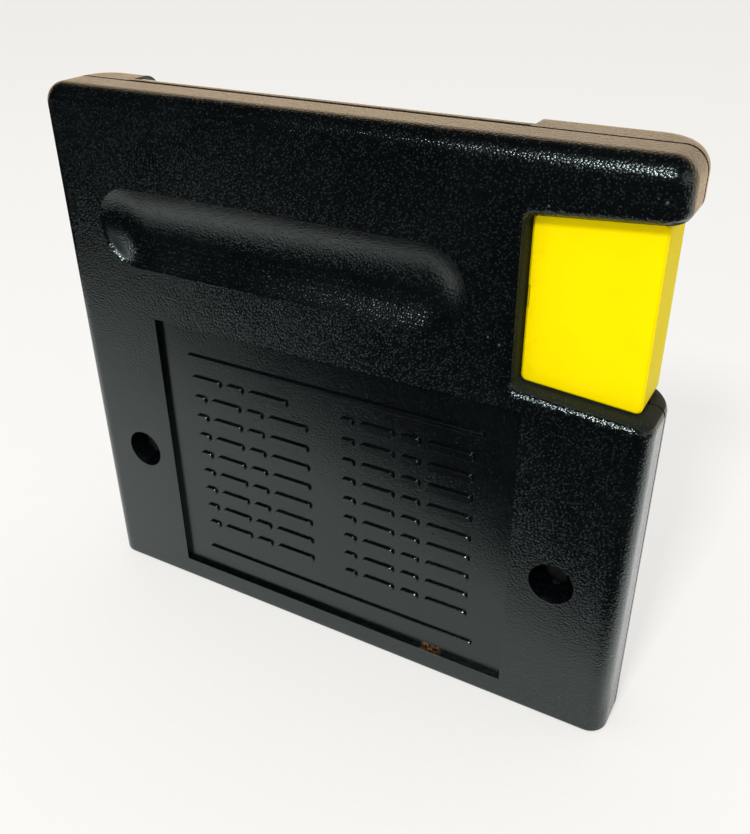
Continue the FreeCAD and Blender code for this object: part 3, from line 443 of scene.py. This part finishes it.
def case_places(finish):
    """Masks of the places where the plastic is smoother, duller or darker than elsewhere."""
    panel = finish.product(
        finish.between("x", -PANEL_HALF, PANEL_HALF),
        finish.between("z", PANEL_BOTTOM, PANEL_TOP),
        finish.between("y", PANEL_FLOOR - PANEL_SLACK, PANEL_FLOOR + PANEL_SLACK))
    scoop_end = finish.product(
        finish.disc("x", "z", SCOOP_END, SCOOP_END_RADIUS, 2.5 * MM),
        finish.between("y", *SCOOP_END_DEEP, 0.3 * MM))
    lip = finish.product(
        finish.between("y", SEAM_HALF, LIP_BACK),
        finish.between("x", LABEL_LOW.x, LABEL_HIGH.x),
        finish.fade(finish.axes["z"], *LIP_TOP))
    notch = finish.product(
        finish.between("x", NOTCH_WALL - 0.4 * MM, CASE_HIGH.x + 1.0 * MM),
        finish.between("y", -NOTCH_HALF, NOTCH_HALF, 0.15 * MM),
        finish.between("z", NOTCH_LOW - 0.6 * MM, NOTCH_HIGH + 0.6 * MM))
    seam = finish.between("y", -SEAM_HALF, SEAM_HALF)
    return {"panel": panel, "scoop_end": scoop_end, "lip": lip, "notch": notch, "seam": seam}


def case_stain(finish):
    """A mask of the smear at the foot of the panel."""
    return finish.product(
        finish.between("x", *STAIN_ACROSS, 0.5 * MM),
        finish.between("z", *STAIN_UP, 0.3 * MM),
        finish.fade(finish.noise(0.7 * MM, detail=3.0), 0.4, 0.62),
        finish.between("y", CASE_LOW.y - 1.0 * MM, PANEL_FLOOR + 0.2 * MM))


def case_wear(finish, look, colour):
    """The plastic's colour with scuffs along its foot, dust, a rubbed spot and chips."""
    scuff_lines = finish.noise(0.5 * MM, detail=3.0, vector=finish.stretched(0.12, 1.0, 1.0))
    foot = finish.fade(finish.axes["z"], *FOOT_SCUFFS, 1.0, 0.0)
    scuffs = finish.product(finish.fade(scuff_lines, 0.66, 0.74), foot)
    dust = finish.fade(finish.cells(2.6 * MM)[0], 0.012, 0.03, 1.0, 0.0)
    back = finish.fade(finish.axes["y"], CASE_LOW.y, CASE_LOW.y + MARK_DEPTH, 1.0, 0.0)
    rub = finish.product(
        finish.between("x", *RUB_ACROSS, 0.5 * MM),
        finish.between("z", *RUB_UP, 0.2 * MM),
        finish.fade(finish.noise(0.5 * MM), 0.45, 0.7), back)
    colour = finish.blend(scuffs, colour, opaque(look.worn))
    colour = finish.blend(finish.product(dust, DUST_SHARE), colour, opaque(DUST_GREY))
    colour = finish.blend(rub, colour, opaque(look.worn))
    for across, up, radius in CHIPS:
        chip = finish.product(finish.disc("x", "z", (across, up), radius, radius * 0.8), back)
        colour = finish.blend(finish.product(chip, CHIP_SHARE), colour, opaque(CHIP_GREY))
    return colour


def case_plastic(look, name, grain_share=1.0):
    """Black plastic with a spark-eroded grain, painted glints on its pebble crests, faint clouds,
    marks of use and dull hollows.
    """
    finish = Finish(name)
    height, glinting_crests = case_grain(finish, look.grain)
    places = case_places(finish)
    stain = case_stain(finish)
    clouds = finish.noise(14.0 * MM, detail=3.0)

    colour = finish.mottled(clouds, 0.35, 0.7, look.colour, 1.35)
    # Painted glints: some pebble crests take the paler crest colour
    colour = finish.blend(glinting_crests, colour, opaque(look.crest_glint))
    colour = case_wear(finish, look, colour)
    colour = finish.blend(stain, colour, opaque(look.stain))
    colour = finish.blend(places["seam"], colour, opaque(BLACK))

    smooth = finish.rest(finish.largest(finish.product(places["panel"], 0.5), places["seam"]))
    normal = finish.bump(finish.product(height, smooth, grain_share), look.grain_depth)
    roughness = finish.total(
        finish.fade(clouds, 0.3, 0.75, look.gloss - 0.03, look.gloss + 0.04),
        finish.largest(finish.product(stain, STAIN_ROUGHER),
                       finish.product(places["scoop_end"], SCOOP_END_ROUGHER)),
        finish.product(places["lip"], LIP_ROUGHER),
        finish.product(places["notch"], NOTCH_ROUGHER))
    finish.surface(Base_Color=colour, Roughness=roughness, Normal=normal)
    finish.surface(Specular_IOR_Level=CASE_SPECULAR, Specular_Tint=opaque(look.sheen))
    return finish


def rounded_outline(left, right, low, high, radius, steps=4):
    """Corners of a rounded rectangle in the plane of the rear face."""
    middles = ((right - radius, high - radius, 0), (left + radius, high - radius, 90),
               (left + radius, low + radius, 180), (right - radius, low + radius, 270))
    points = []
    for across, up, start in middles:
        for step in range(steps + 1):
            angle = math.radians(start + 90.0 * step / steps)
            points.append((across + radius * math.cos(angle), up + radius * math.sin(angle)))
    return points


def add_rib(mesh, left, right, middle, height, sizes):
    """A rib on the panel's floor, with rounded ends and a broken upper edge."""
    low = middle - height / 2
    high = middle + height / 2
    radius = min(height, right - left) * RIB_ROUNDING
    levels = ((PANEL_FLOOR + RIB_SINK, 0.0), (PANEL_FLOOR - sizes.rise + sizes.bevel, 0.0),
              (PANEL_FLOOR - sizes.rise, sizes.bevel))
    loops = []
    for depth, inset in levels:
        outline = rounded_outline(left + inset, right - inset, low + inset, high - inset,
                                  radius - inset)
        loops.append([mesh.verts.new((across, depth, up)) for across, up in outline])
    count = len(loops[0])
    for lower, upper in zip(loops, loops[1:]):
        for index in range(count):
            after = (index + 1) % count
            mesh.faces.new((lower[index], lower[after], upper[after], upper[index]))
    mesh.faces.new(loops[-1])
    mesh.faces.new(list(reversed(loops[0])))


def fill_row(left, right, lengths):
    """Ends of the ribs that fit between two places, one gap apart."""
    start = left
    for length in lengths:
        if start + length > right:
            return
        yield start, start + length
        start += length + RIB_GAP


def add_piece(name, mesh, finish):
    """An object of the cartridge from a finished mesh."""
    bmesh.ops.recalc_face_normals(mesh, faces=mesh.faces[:])
    data = bpy.data.meshes.new(name)
    mesh.to_mesh(data)
    mesh.free()
    piece = bpy.data.objects.new(name, data)
    bpy.context.scene.collection.objects.link(piece)
    data.materials.append(finish.material)
    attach(piece, "root")


class CARTRIDGE_OT_case(Operator):
    """Grains both halves of the black case"""
    bl_idname = "cartridge.case"
    bl_label = "Case plastic"

    def execute(self, context):
        look = context.scene.cartridge_look.case
        case_plastic(look, "grained_black_plastic").dress("rear_case", "front_case")
        return {"FINISHED"}


class CARTRIDGE_OT_relief(Operator):
    """Raises plain ribs on the sunk panel"""
    bl_idname = "cartridge.relief"
    bl_label = "Panel ribs"

    def execute(self, context):
        sizes = context.scene.cartridge_look.relief
        mesh = bmesh.new()
        for rule in (UPPER_RULE, LOWER_RULE):
            add_rib(mesh, -RULE_HALF, RULE_HALF, rule, RULE_HEIGHT, sizes)
        lengths = itertools.cycle(RIB_LENGTHS)
        for row in range(sizes.rows):
            middle = FIRST_ROW - row * sizes.pitch
            for left, right in RIB_COLUMNS:
                for start, end in fill_row(left, right, lengths):
                    add_rib(mesh, start, end, middle, sizes.rib, sizes)
        finish = case_plastic(context.scene.cartridge_look.case, "rib_plastic", grain_share=0.3)
        add_piece("panel_ribs", mesh, finish)
        return {"FINISHED"}


class CARTRIDGE_OT_tab(Operator):
    """Colours the tab in the notch"""
    bl_idname = "cartridge.tab"
    bl_label = "Side tab"

    def execute(self, context):
        look = context.scene.cartridge_look.tab
        finish = Finish("yellow_plastic")
        clouds = finish.noise(7.0 * MM)
        orange_peel = finish.noise(0.9 * MM)
        scratches = finish.noise(0.35 * MM, vector=finish.stretched(1.0, 1.0, 0.06))
        handled = finish.fade(scratches, 0.7, 0.8)
        # Painted shade: the top of the tab darkens where the notch's upper arm shades it
        upper = finish.fade(finish.axes["z"], TAB_HIGH.z - TAB_TOP_SHADE, TAB_HIGH.z)
        # Painted shade along the inner edge next to the notch wall, broken into patches
        inner_edge = finish.fade(finish.axes["x"], *TAB_EDGE_SHADE, 1.0, 0.0)
        edge_shade = finish.product(inner_edge,
                               finish.fade(finish.noise(1.4 * MM, detail=3.0), 0.4, 0.7))
        tone = finish.largest(finish.product(upper, 0.5), finish.product(edge_shade, 0.25),
                              finish.fade(clouds, 0.45, 0.8, 0.0, 0.18))
        colour = finish.blend(tone, opaque(look.colour), opaque(look.shade))
        roughness = finish.total(
            finish.fade(clouds, 0.3, 0.7, look.roughness - 0.04, look.roughness + 0.06),
            finish.product(handled, 0.12))
        finish.surface(Base_Color=colour, Roughness=roughness,
                       Normal=finish.bump(orange_peel, 0.006 * MM))
        finish.surface(Specular_IOR_Level=TAB_SPECULAR)
        finish.dress("side_tab")
        return {"FINISHED"}


class CARTRIDGE_OT_label(Operator):
    """Prints plain fields and simple shapes on the paper label"""
    bl_idname = "cartridge.label"
    bl_label = "Paper label"

    def execute(self, context):
        look = context.scene.cartridge_look.label
        finish = Finish("printed_paper")
        fibres = finish.noise(0.12 * MM, detail=3.0, vector=finish.stretched(0.4, 1.0, 1.0))
        mottle = finish.noise(9.0 * MM, detail=3.0)
        width = finish.between("x", FIELD_LEFT, FIELD_RIGHT)
        field = finish.product(width, finish.between("z", FIELD_LOW, FIELD_HIGH))
        band = finish.product(width, finish.between("z", BAND_LOW, BAND_HIGH))
        rise = finish.fade(finish.axes["z"], FIELD_LOW, FIELD_HIGH)
        slope = finish.total(finish.axes["x"], finish.axes["z"])
        stripe = finish.work_out("PINGPONG", slope, STRIPE_PITCH)
        stripes = finish.product(finish.fade(stripe, *STRIPE_EDGE),
                                 finish.fade(rise, 0.62, 0.1, 0.0, 0.5))
        middle = (FIELD_RIGHT - DISC_INSET, FIELD_HIGH - DISC_INSET)
        disc = finish.disc("x", "z", middle, DISC_RADIUS)
        top_bar = finish.product(finish.between("x", *TOP_BAR_ACROSS),
                                 finish.between("y", *TOP_BAR_DEEP))

        paper = finish.mottled(mottle, 0.3, 0.8, look.paper, 0.93)
        print_field = finish.blend(rise, opaque(look.field), opaque(look.glow))
        print_field = finish.blend(stripes, print_field, opaque(look.accent))
        print_field = finish.blend(disc, print_field, opaque(look.accent))
        colour = finish.blend(field, paper, print_field)
        colour = finish.blend(band, colour, opaque(look.field))
        colour = finish.blend(finish.product(top_bar, 0.6), colour, opaque(look.ink))
        printed = finish.largest(field, band)
        roughness = finish.work_out("SUBTRACT", 0.62, finish.product(printed, 0.2))
        finish.surface(Base_Color=colour, Roughness=roughness,
                       Normal=finish.bump(fibres, 0.008 * MM))
        finish.surface(Specular_IOR_Level=PAPER_SPECULAR)
        finish.dress("front_label")
        return {"FINISHED"}


class CARTRIDGE_OT_board(Operator):
    """Covers the board with solder mask and traces"""
    bl_idname = "cartridge.board"
    bl_label = "Circuit board"

    def execute(self, context):
        look = context.scene.cartridge_look.board
        finish = Finish("solder_mask")
        weave = finish.noise(0.5 * MM)
        clouds = finish.noise(6.0 * MM)
        columns = finish.work_out("PINGPONG", finish.axes["x"], PAD_PITCH / 2)
        rows = finish.work_out("PINGPONG", finish.axes["z"], PAD_PITCH / 4)
        fan_out = finish.product(finish.fade(columns, *FAN_OUT_EDGE),
                                 finish.between("z", FAN_OUT_LOW, FAN_OUT_HIGH))
        bus = finish.product(finish.fade(rows, *BUS_EDGE),
                             finish.between("z", FAN_OUT_HIGH, BUS_HIGH),
                             finish.fade(clouds, 0.42, 0.46))
        traces = finish.largest(fan_out, bus)
        bare_edge = finish.fade(finish.axes["z"], *BARE_EDGE, 1.0, 0.0)
        colour = finish.mottled(clouds, 0.3, 0.8, look.mask, 1.3)
        colour = finish.blend(traces, colour, opaque(look.trace))
        colour = finish.blend(bare_edge, colour, opaque(BARE_BOARD))
        height = finish.total(traces, finish.product(weave, 0.3))
        finish.surface(Base_Color=colour, Roughness=finish.fade(clouds, 0.3, 0.7, 0.22, 0.34),
                       Normal=finish.bump(height, 0.03 * MM))
        finish.dress("circuit_board")
        return {"FINISHED"}


def worn_metal(name, colour, roughness, grain, along=(1.0, 1.0, 1.0)):
    """Metal with a drawn grain, dull patches and fine scratches."""
    finish = Finish(name)
    drawn = finish.noise(grain, detail=3.0, vector=finish.stretched(*along))
    dull = finish.noise(grain * 9.0)
    finish.surface(
        Base_Color=finish.mottled(dull, 0.35, 0.75, colour, 0.78),
        Roughness=finish.fade(dull, 0.3, 0.75, roughness - 0.06, roughness + 0.12),
        Normal=finish.bump(drawn, 0.006 * MM))
    finish.surface(Metallic=1.0)
    return finish


class CARTRIDGE_OT_contacts(Operator):
    """Plates the contacts, which are rubbed along the way that they slide"""
    bl_idname = "cartridge.contacts"
    bl_label = "Contacts"

    def execute(self, context):
        look = context.scene.cartridge_look.board
        rubbed = worn_metal("gold_plating", look.plating, roughness=0.26, grain=0.08 * MM,
                            along=(1.0, 1.0, 0.05))
        rubbed.dress("rear_contacts", "front_contacts")
        return {"FINISHED"}


class CARTRIDGE_OT_memory(Operator):
    """Finishes the memory package and its tinned leads"""
    bl_idname = "cartridge.memory"
    bl_label = "Memory package"

    def execute(self, context):
        look = context.scene.cartridge_look.board
        finish = Finish("package_plastic")
        grain = finish.noise(0.12 * MM)
        clouds = finish.noise(5.0 * MM)
        finish.surface(Base_Color=finish.mottled(clouds, 0.3, 0.8, look.package, 1.5),
                       Roughness=finish.fade(clouds, 0.3, 0.7, 0.48, 0.6),
                       Normal=finish.bump(grain, 0.012 * MM))
        finish.dress("memory_package")
        tinned = worn_metal("tinned_leads", look.tin, roughness=0.32, grain=0.1 * MM)
        tinned.dress("memory_leads")
        return {"FINISHED"}


def capacitor_body(name, colour, cap_colour, middle, cap_start, band=None):
    """A moulded or fired block with tinned ends, and a darker band where it has one."""
    finish = Finish(name)
    blur = 0.05 * MM
    across = finish.work_out("ABSOLUTE", finish.axes["x"])
    offset = finish.work_out("SUBTRACT", across, middle)
    reach = finish.work_out("ABSOLUTE", offset)
    caps = finish.fade(reach, cap_start - blur, cap_start + blur)
    speckle = finish.noise(0.25 * MM, detail=3.0)
    tone = finish.mottled(speckle, 0.3, 0.75, colour, 0.75)
    if band:
        mark = finish.product(finish.fade(offset, band[0], band[0] + blur),
                              finish.fade(offset, band[1], band[1] + blur, 1.0, 0.0))
        tone = finish.blend(mark, tone, opaque(colour, 0.3))
    finish.surface(Base_Color=finish.blend(caps, tone, opaque(cap_colour)), Metallic=caps,
                   Roughness=finish.fade(speckle, 0.3, 0.7, 0.35, 0.5),
                   Normal=finish.bump(speckle, 0.01 * MM))
    return finish


class CARTRIDGE_OT_capacitors(Operator):
    """Finishes the capacitors on the board"""
    bl_idname = "cartridge.capacitors"
    bl_label = "Capacitors"

    def execute(self, context):
        look = context.scene.cartridge_look.board
        fired = capacitor_body("fired_ceramic", look.ceramic, look.tin,
                               CERAMIC_PLACE, CERAMIC_CAP)
        fired.dress("ceramic_capacitors")
        moulded = capacitor_body("moulded_resin", look.resin, look.tin,
                                 RESERVOIR_PLACE, RESERVOIR_CAP, RESERVOIR_BAND)
        moulded.dress("reservoir_capacitor")
        return {"FINISHED"}


class CARTRIDGE_OT_screws(Operator):
    """Finishes the two case screws"""
    bl_idname = "cartridge.screws"
    bl_label = "Case screws"

    def execute(self, context):
        look = context.scene.cartridge_look.board
        plated = worn_metal("dark_plated_steel", look.steel, roughness=0.34, grain=0.15 * MM)
        plated.dress("case_screws")
        return {"FINISHED"}


def add_lamp(name, place, target, side, power, colour):
    """A soft square lamp that faces a target."""
    data = bpy.data.lights.new(name, "AREA")
    data.shape = "SQUARE"
    data.size = side
    data.energy = power
    data.color = colour
    lamp = bpy.data.objects.new(name, data)
    lamp.location = place
    lamp.rotation_euler = (Vector(target) - Vector(place)).to_track_quat("-Z", "Y").to_euler()
    bpy.context.scene.collection.objects.link(lamp)


def add_sheet(name, width, length, place, turn, finish):
    """A sheet of the stage."""
    mesh = bmesh.new()
    bmesh.ops.create_grid(mesh, x_segments=1, y_segments=1, size=0.5)
    bmesh.ops.scale(mesh, vec=(width, length, 1.0), verts=mesh.verts)
    data = bpy.data.meshes.new(name)
    mesh.to_mesh(data)
    mesh.free()
    data.materials.append(finish.material)
    sheet = bpy.data.objects.new(name, data)
    sheet.location = place
    sheet.rotation_euler = [math.radians(angle) for angle in turn]
    bpy.context.scene.collection.objects.link(sheet)
    return sheet


def hang_drape(name, width, length, place, turn, finish):
    """A sheet out of the picture that shows only as a reflection."""
    drape = add_sheet(name, width, length, place, turn, finish)
    drape.visible_camera = False
    drape.visible_diffuse = False
    drape.visible_transmission = False
    drape.visible_shadow = False


def cloth_tone(finish, colour):
    """The colour of cloth with a faint weave."""
    weave = finish.noise(30.0 * MM, detail=3.0)
    return finish.blend(weave, opaque(colour), opaque(colour, 0.85))


def plain_cloth(name, colour):
    """Matt cloth for the drapes."""
    finish = Finish(name)
    finish.surface(Base_Color=cloth_tone(finish, colour))
    finish.surface(Roughness=1.0, Specular_IOR_Level=0.0)
    return finish


def glowing_cloth(name, colour, glow, reach):
    """Dark cloth that glows with coloured light of its own, which fades between two places along
    its length.
    """
    finish = Finish(name)
    strength = finish.fade(finish.axes["y"], *reach, *glow)
    finish.surface(Emission_Color=cloth_tone(finish, colour), Emission_Strength=strength)
    finish.surface(Base_Color=opaque(DRAPE_BLACK), Roughness=1.0, Specular_IOR_Level=0.0)
    return finish


def floor_cloth(colour, glow):
    """Pale woven cloth. Seen by itself, a share of it is lit evenly."""
    finish = Finish("pale_cloth")
    thread = 0.5 * MM
    warp = finish.noise(thread, vector=finish.stretched(1.0, 0.25, 1.0))
    weft = finish.noise(thread, vector=finish.stretched(0.25, 1.0, 1.0))
    weave = finish.largest(warp, weft)
    tone = finish.blend(finish.fade(weave, 0.4, 0.8), opaque(colour, 0.98), opaque(colour))
    rays = finish.add("ShaderNodeLightPath").outputs
    seen = finish.largest(rays["Is Camera Ray"], rays["Is Glossy Ray"],
                          rays["Is Transmission Ray"])
    tone = finish.blend(seen, tone, finish.blend(glow, tone, opaque(BLACK)))
    finish.surface(Base_Color=tone, Normal=finish.bump(weave, 0.05 * MM))
    finish.surface(Emission_Color=opaque(colour), Emission_Strength=finish.product(seen, glow))
    finish.surface(Roughness=0.9, Specular_IOR_Level=0.0)
    return finish


def light_room(look):
    """Even light from all round, behind a plain pale background."""
    world = bpy.data.worlds.new("studio")
    bpy.context.scene.world = world
    world.use_nodes = True
    tree = world.node_tree
    tree.nodes.clear()
    shown = tree.nodes.new("ShaderNodeBackground")
    shown.inputs["Color"].default_value = opaque(look.background)
    lit = tree.nodes.new("ShaderNodeBackground")
    lit.inputs["Color"].default_value = opaque(look.room)
    lit.inputs["Strength"].default_value = look.room_strength
    rays = tree.nodes.new("ShaderNodeLightPath")
    seen = rays.outputs["Is Camera Ray"]
    for name in ("Is Glossy Ray", "Is Transmission Ray"):
        either = tree.nodes.new("ShaderNodeMath")
        either.operation = "MAXIMUM"
        tree.links.new(seen, either.inputs[0])
        tree.links.new(rays.outputs[name], either.inputs[1])
        seen = either.outputs["Value"]
    mix = tree.nodes.new("ShaderNodeMixShader")
    output = tree.nodes.new("ShaderNodeOutputWorld")
    tree.links.new(seen, mix.inputs["Fac"])
    tree.links.new(lit.outputs["Background"], mix.inputs[1])
    tree.links.new(shown.outputs["Background"], mix.inputs[2])
    tree.links.new(mix.outputs["Shader"], output.inputs["Surface"])


def add_camera(look):
    """The camera at the photograph's place."""
    data = bpy.data.cameras.new("photo_camera")
    data.lens = look.camera_lens
    camera = bpy.data.objects.new("photo_camera", data)
    place = Vector(look.camera_place)
    view = (Vector(look.camera_target) - place).to_track_quat("-Z", "Y")
    camera.location = place
    camera.rotation_euler = view.to_euler()
    camera.rotation_euler.rotate_axis("Z", look.camera_roll)
    bpy.context.scene.collection.objects.link(camera)
    bpy.context.scene.camera = camera


class CARTRIDGE_OT_stage(Operator):
    """Sets the floor, drapes, light and camera"""
    bl_idname = "cartridge.stage"
    bl_label = "Stage"

    def execute(self, context):
        look = context.scene.cartridge_look.stage
        context.scene.view_settings.view_transform = "Standard"
        add_sheet(*FLOOR, floor_cloth(look.floor, look.floor_glow))
        light_room(look)
        dark = plain_cloth("dark_cloth", DRAPE_BLACK)
        for drape in DRAPES:
            hang_drape(*drape, dark)
        # Painted reflections: the back wall and the side card glow with light of their own and
        # show only in reflections, standing in for a lit wall and brighter floor
        hang_drape(*BACK_WALL, glowing_cloth("glowing_wall", look.wall, WALL_GLOW, WALL_REACH))
        hang_drape(*SIDE_CARD, glowing_cloth("glowing_card", look.floor, CARD_GLOW, CARD_REACH))
        add_lamp("key_lamp", LAMP_PLACE, LAMP_TARGET, LAMP_SIDE, look.key_power, LAMP_WHITE)
        add_camera(look)
        return {"FINISHED"}


class CARTRIDGE_PT_sidebar(Panel):
    """Lists the steps in the 3D view's sidebar"""
    bl_idname = "CARTRIDGE_PT_sidebar"
    bl_label = "Game cartridge"
    bl_space_type = "VIEW_3D"
    bl_region_type = "UI"
    bl_category = "Cartridge"

    def draw(self, context):
        for step in STEPS:
            self.layout.operator(step.bl_idname)


LOOKS = (CaseLook, ReliefSizes, TabLook, LabelLook, BoardLook, StageLook, CartridgeLook)
STEPS = (CARTRIDGE_OT_case, CARTRIDGE_OT_relief, CARTRIDGE_OT_tab, CARTRIDGE_OT_label,
         CARTRIDGE_OT_board, CARTRIDGE_OT_contacts, CARTRIDGE_OT_memory,
         CARTRIDGE_OT_capacitors, CARTRIDGE_OT_screws, CARTRIDGE_OT_stage)
CLASSES = LOOKS + STEPS + (CARTRIDGE_PT_sidebar,)


def register():
    """Makes the looks, steps and sidebar known."""
    for item in CLASSES:
        bpy.utils.register_class(item)
    bpy.types.Scene.cartridge_look = PointerProperty(type=CartridgeLook)


def unregister():
    """Takes them away again."""
    del bpy.types.Scene.cartridge_look
    for item in reversed(CLASSES):
        bpy.utils.unregister_class(item)


def main():
    """Dresses the cartridge and sets the stage."""
    register()
    bpy.ops.cartridge.case()
    bpy.ops.cartridge.relief()
    bpy.ops.cartridge.tab()
    bpy.ops.cartridge.label()
    bpy.ops.cartridge.board()
    bpy.ops.cartridge.contacts()
    bpy.ops.cartridge.memory()
    bpy.ops.cartridge.capacitors()
    bpy.ops.cartridge.screws()
    bpy.ops.cartridge.stage()


if __name__ == "__main__":
    main()
